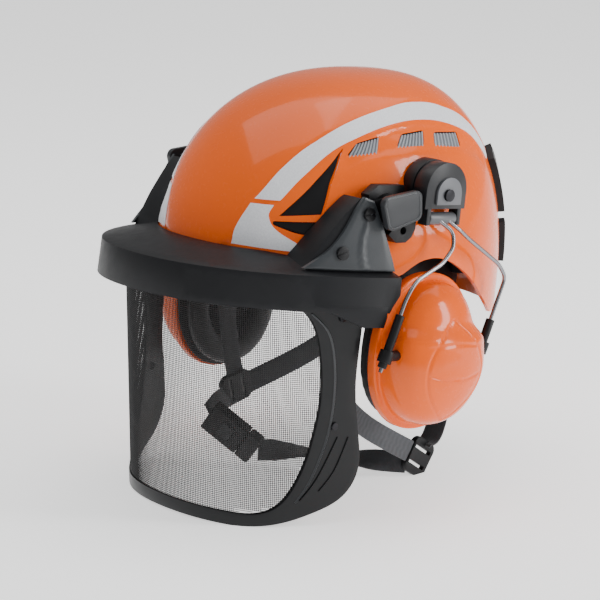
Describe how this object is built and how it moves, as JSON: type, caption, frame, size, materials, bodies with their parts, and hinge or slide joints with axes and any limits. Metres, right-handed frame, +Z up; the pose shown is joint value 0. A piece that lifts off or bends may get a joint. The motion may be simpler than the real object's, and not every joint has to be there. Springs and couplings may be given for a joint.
{
  "type": "forestry helmet",
  "caption": "Forestry safety helmet with a flip-up mesh visor under a brow guard, swing-out ear muffs on wire arms and a chin strap.",
  "frame": {"origin": "middle of the head opening, level with the brow guard's lower edge", "axes": "+Z up the wearer's head, -Y the way the face looks, +X the wearer's left"},
  "size_m": [0.276, 0.2971, 0.2957],
  "materials": {
    "orange_shell": "glossy",
    "foam": "matte",
    "silver_insert": "satin",
    "charcoal": "satin",
    "black_plastic": "satin",
    "reflective": "satin",
    "cap_grey": "satin",
    "webbing": "woven",
    "padding": "matte",
    "mesh_black": "satin",
    "steel": "polished",
    "dark_steel": "satin",
    "red_orange": "satin",
    "light_grey": "satin",
    "cushion_black": "soft"
  },
  "bodies": {
    "helmet": {"brow_pad": "padding", "buckle_plug": "black_plastic", "buckle_socket": "black_plastic", "chin_strap_front_l": "webbing", "chin_strap_front_r": "webbing", "chin_strap_lower_l": "webbing", "chin_strap_lower_r": "webbing", "chin_strap_rear_l": "webbing", "chin_strap_rear_r": "webbing", "cradle_anchors": "black_plastic", "cradle_straps": "webbing", "foam_liner": "foam", "front_stripes": "reflective", "front_vent_inserts": "silver_insert", "headband": "black_plastic", "muff_base_l": "black_plastic", "muff_base_r": "black_plastic", "nape_cradle": "black_plastic", "outer_shell": "orange_shell", "pivot_bracket_l": "black_plastic", "pivot_bracket_r": "black_plastic", "pivot_caps": "cap_grey", "rear_lamp_clips": "black_plastic", "side_vent_grilles": "black_plastic", "strap_adjuster_l": "black_plastic", "strap_adjuster_r": "black_plastic", "upper_stripes": "reflective"},
    "visor": {"brow_guard": "charcoal", "brow_side_plates": "charcoal", "brow_screws": "dark_steel", "pivot_arms": "black_plastic", "visor_frame": "black_plastic", "visor_mesh": "mesh_black", "visor_rivets": "dark_steel"},
    "nape_wheel": {"adjuster_wheel": "black_plastic"},
    "buckle_button": {"buckle_button": "red_orange"},
    "swivel_l": {"swivel_housing_l": "charcoal", "swivel_cover_l": "cap_grey", "swivel_screw_l": "dark_steel"},
    "muff_arm_l": {"arm_block_l": "light_grey", "muff_wires_l": "steel"},
    "cup_carrier_l": {"wire_sleeves_l": "black_plastic", "cup_pins_l": "red_orange"},
    "cup_l": {"cup_shell_l": "orange_shell", "cup_foam_l": "padding", "cup_plate_l": "black_plastic", "ear_cushion_l": "cushion_black"},
    "swivel_r": {"swivel_housing_r": "charcoal", "swivel_cover_r": "cap_grey", "swivel_screw_r": "dark_steel"},
    "muff_arm_r": {"arm_block_r": "light_grey", "muff_wires_r": "steel"},
    "cup_carrier_r": {"wire_sleeves_r": "black_plastic", "cup_pins_r": "red_orange"},
    "cup_r": {"cup_shell_r": "orange_shell", "cup_foam_r": "padding", "cup_plate_r": "black_plastic", "ear_cushion_r": "cushion_black"}
  },
  "joints": [
    {"name": "visor_flip", "type": "hinge", "parent": "helmet", "child": "visor", "pos_m": [0, -0.042, 0.065], "axis": [-1, 0, 0], "range_deg": [0, 65]},
    {"name": "nape_wheel_turn", "type": "hinge", "parent": "helmet", "child": "nape_wheel", "pos_m": [0, 0.105, -0.02], "axis": [0, 1, 0], "continuous": true},
    {"name": "buckle_button_press", "type": "slide", "parent": "helmet", "child": "buckle_button", "axis": [-0.3794, 0.8679, 0.3207], "range_m": [0, 0.0015], "stiffness_N_per_m": 600, "springref_m": -0.001},
    {"name": "muff_turn_l", "type": "hinge", "parent": "helmet", "child": "swivel_l", "pos_m": [0.1, -0.004, 0.076], "axis": [1, 0, 0], "range_deg": [0, 5]},
    {"name": "muff_swing_out_l", "type": "hinge", "parent": "swivel_l", "child": "muff_arm_l", "pos_m": [0.106, -0.004, 0.06], "axis": [0, -1, 0], "range_deg": [0, 35]},
    {"name": "cup_height_l", "type": "slide", "parent": "muff_arm_l", "child": "cup_carrier_l", "axis": [0, -0.3304, -0.9439], "range_m": [0, 0.016]},
    {"name": "cup_tilt_l", "type": "hinge", "parent": "cup_carrier_l", "child": "cup_l", "pos_m": [0.1195, -0.0535, -0.027], "axis": [-0.0771, 0.997, 0], "range_deg": [-4, 4]},
    {"name": "muff_turn_r", "type": "hinge", "parent": "helmet", "child": "swivel_r", "pos_m": [-0.1, -0.004, 0.076], "axis": [1, 0, 0], "range_deg": [0, 5]},
    {"name": "muff_swing_out_r", "type": "hinge", "parent": "swivel_r", "child": "muff_arm_r", "pos_m": [-0.106, -0.004, 0.06], "axis": [0, 1, 0], "range_deg": [0, 35]},
    {"name": "cup_height_r", "type": "slide", "parent": "muff_arm_r", "child": "cup_carrier_r", "axis": [0, -0.3304, -0.9439], "range_m": [0, 0.016]},
    {"name": "cup_tilt_r", "type": "hinge", "parent": "cup_carrier_r", "child": "cup_r", "pos_m": [-0.1195, -0.0535, -0.027], "axis": [0.0771, 0.997, 0], "range_deg": [-4, 4]}
  ]
}
